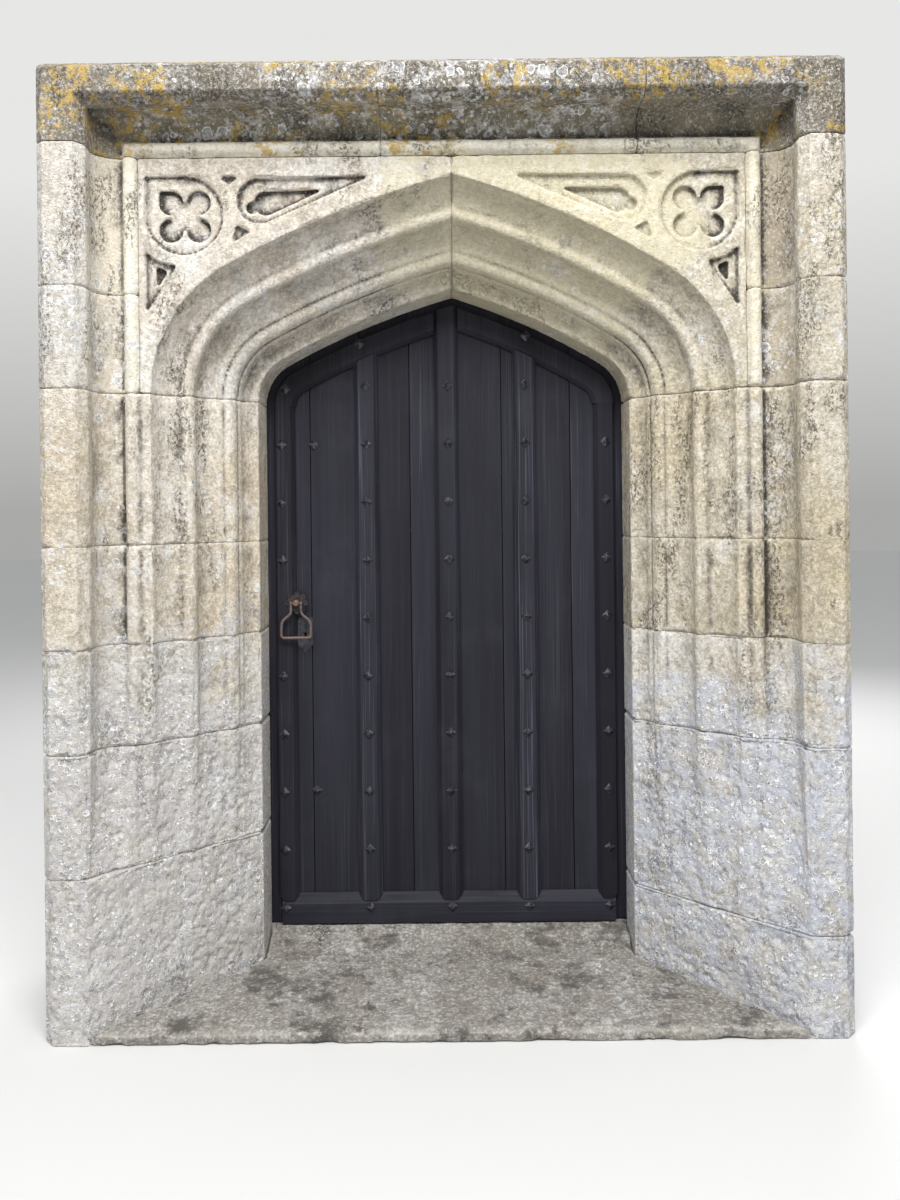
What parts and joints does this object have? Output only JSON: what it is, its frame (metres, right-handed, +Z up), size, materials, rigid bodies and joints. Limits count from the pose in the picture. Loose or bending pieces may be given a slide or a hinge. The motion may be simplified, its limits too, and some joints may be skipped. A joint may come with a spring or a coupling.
{
  "type": "arched plank door in stone door-case",
  "caption": "Studded oak plank door with a four-centred arch, hung on strap hinges in a moulded stone door-case with carved spandrels.",
  "frame": {"origin": "underside of the threshold, in the middle of the doorway, below the front of the leaf's boards", "axes": "+Z up; +X to the right for someone who faces the outside; +Y inwards, the way the leaf opens"},
  "size_m": [2.312, 0.679, 2.818],
  "materials": {
    "stone_upper": "matte",
    "stone_lower": "matte",
    "stone_label": "matte",
    "stone_threshold": "matte",
    "oak_black": "satin",
    "iron_dark": "satin",
    "iron_rusty": "matte"
  },
  "bodies": {
    "frame": {"jamb_left_1": "stone_lower", "jamb_left_2": "stone_lower", "jamb_left_3": "stone_lower", "jamb_left_4": "stone_upper", "jamb_left_5": "stone_upper", "jamb_right_1": "stone_lower", "jamb_right_2": "stone_lower", "jamb_right_3": "stone_lower", "jamb_right_4": "stone_upper", "jamb_right_5": "stone_upper", "side_left_low": "stone_upper", "side_left_high": "stone_upper", "side_right_low": "stone_upper", "side_right_high": "stone_upper", "arch_head_left": "stone_upper", "arch_head_right": "stone_upper", "lintel_left": "stone_label", "lintel_middle": "stone_label", "lintel_right": "stone_label", "threshold": "stone_threshold", "hinge_hook_low": "iron_dark", "hinge_hook_high": "iron_dark", "keeper": "iron_dark"},
    "leaf": {"front_board_1": "oak_black", "front_board_2": "oak_black", "front_board_3": "oak_black", "front_board_4": "oak_black", "front_board_5": "oak_black", "front_board_6": "oak_black", "front_board_7": "oak_black", "back_board_1": "oak_black", "back_board_2": "oak_black", "back_board_3": "oak_black", "back_board_4": "oak_black", "back_board_5": "oak_black", "back_board_6": "oak_black", "back_board_7": "oak_black", "back_board_8": "oak_black", "back_board_9": "oak_black", "back_board_10": "oak_black", "back_board_11": "oak_black", "stile_left": "oak_black", "stile_right": "oak_black", "head_left": "oak_black", "head_right": "oak_black", "bottom_rail": "oak_black", "muntin_left": "oak_black", "muntin_middle": "oak_black", "muntin_right": "oak_black", "door_nails": "iron_dark", "strap_low": "iron_dark", "strap_high": "iron_dark", "rose_plate": "iron_rusty", "escutcheon": "iron_rusty", "lock_case": "iron_dark", "lock_screws": "iron_dark"},
    "handle": {"handle_spindle": "iron_rusty"},
    "ring": {"drop_ring": "iron_rusty"},
    "latch": {"latch_bolt": "iron_dark"},
    "bolt": {"lock_bolt": "iron_dark"}
  },
  "joints": [
    {"name": "leaf_hinge", "type": "hinge", "parent": "frame", "child": "leaf", "pos_m": [0.665, 0.067, 0.11], "axis": [0, 0, -1], "range_deg": [0, 95]},
    {"name": "handle_turn", "type": "hinge", "parent": "leaf", "child": "handle", "pos_m": [-0.506, 0, 1.201], "axis": [0, -1, 0], "range_deg": [0, 45]},
    {"name": "ring_lift", "type": "hinge", "parent": "handle", "child": "ring", "pos_m": [-0.506, -0.0405, 1.201], "axis": [-1, 0, 0], "range_deg": [-4, 85]},
    {"name": "latch_slide", "type": "slide", "parent": "leaf", "child": "latch", "axis": [-1, 0, 0], "range_m": [0, 0.0161]},
    {"name": "lock_bolt_slide", "type": "slide", "parent": "leaf", "child": "bolt", "axis": [-1, 0, 0], "range_m": [0, 0.022]}
  ],
  "couplings": [
    {"joint": "latch_slide", "follows": "handle_turn", "m_per_rad": 0.02037}
  ]
}
